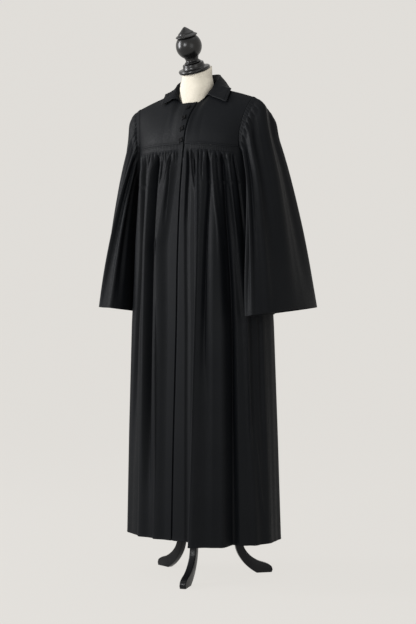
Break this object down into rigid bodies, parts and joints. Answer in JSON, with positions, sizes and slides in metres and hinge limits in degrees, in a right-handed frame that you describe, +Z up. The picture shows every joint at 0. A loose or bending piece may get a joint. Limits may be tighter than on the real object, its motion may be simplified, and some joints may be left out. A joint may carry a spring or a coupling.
{
  "type": "clergy robe on a dress form",
  "caption": "Black yoked clergy robe with smocked gathers, pointed collar, fly front and long bell sleeves, on a limbless dress form with a finial and a three-legged stand.",
  "frame": {"origin": "centre of the bounding box, on the floor", "axes": "+Z up, +X to the wearer's left, the robe's front faces -Y"},
  "size_m": [0.6938, 0.4252, 1.731],
  "materials": {
    "robe_cloth": "fine black worsted with a soft sheen",
    "button": "black, satin",
    "form_cover": "cream jersey cover",
    "turned_wood": "turned, black gloss lacquer",
    "stand_pole": "black, satin",
    "stand_wood": "black satin lacquer"
  },
  "bodies": {
    "root": {"yoke_front_right": "robe_cloth", "yoke_front_left": "robe_cloth", "yoke_back": "robe_cloth", "skirt_front_right": "robe_cloth", "skirt_front_left": "robe_cloth", "skirt_back": "robe_cloth", "sleeve_left": "robe_cloth", "sleeve_right": "robe_cloth", "collar": "robe_cloth", "button_1": "button", "button_2": "button", "button_3": "button", "button_4": "button", "form_torso": "form_cover", "neck_cap": "turned_wood", "finial": "turned_wood", "pole": "stand_pole", "hub": "stand_wood", "leg_1": "stand_wood", "leg_2": "stand_wood", "leg_3": "stand_wood"}
  },
  "joints": []
}
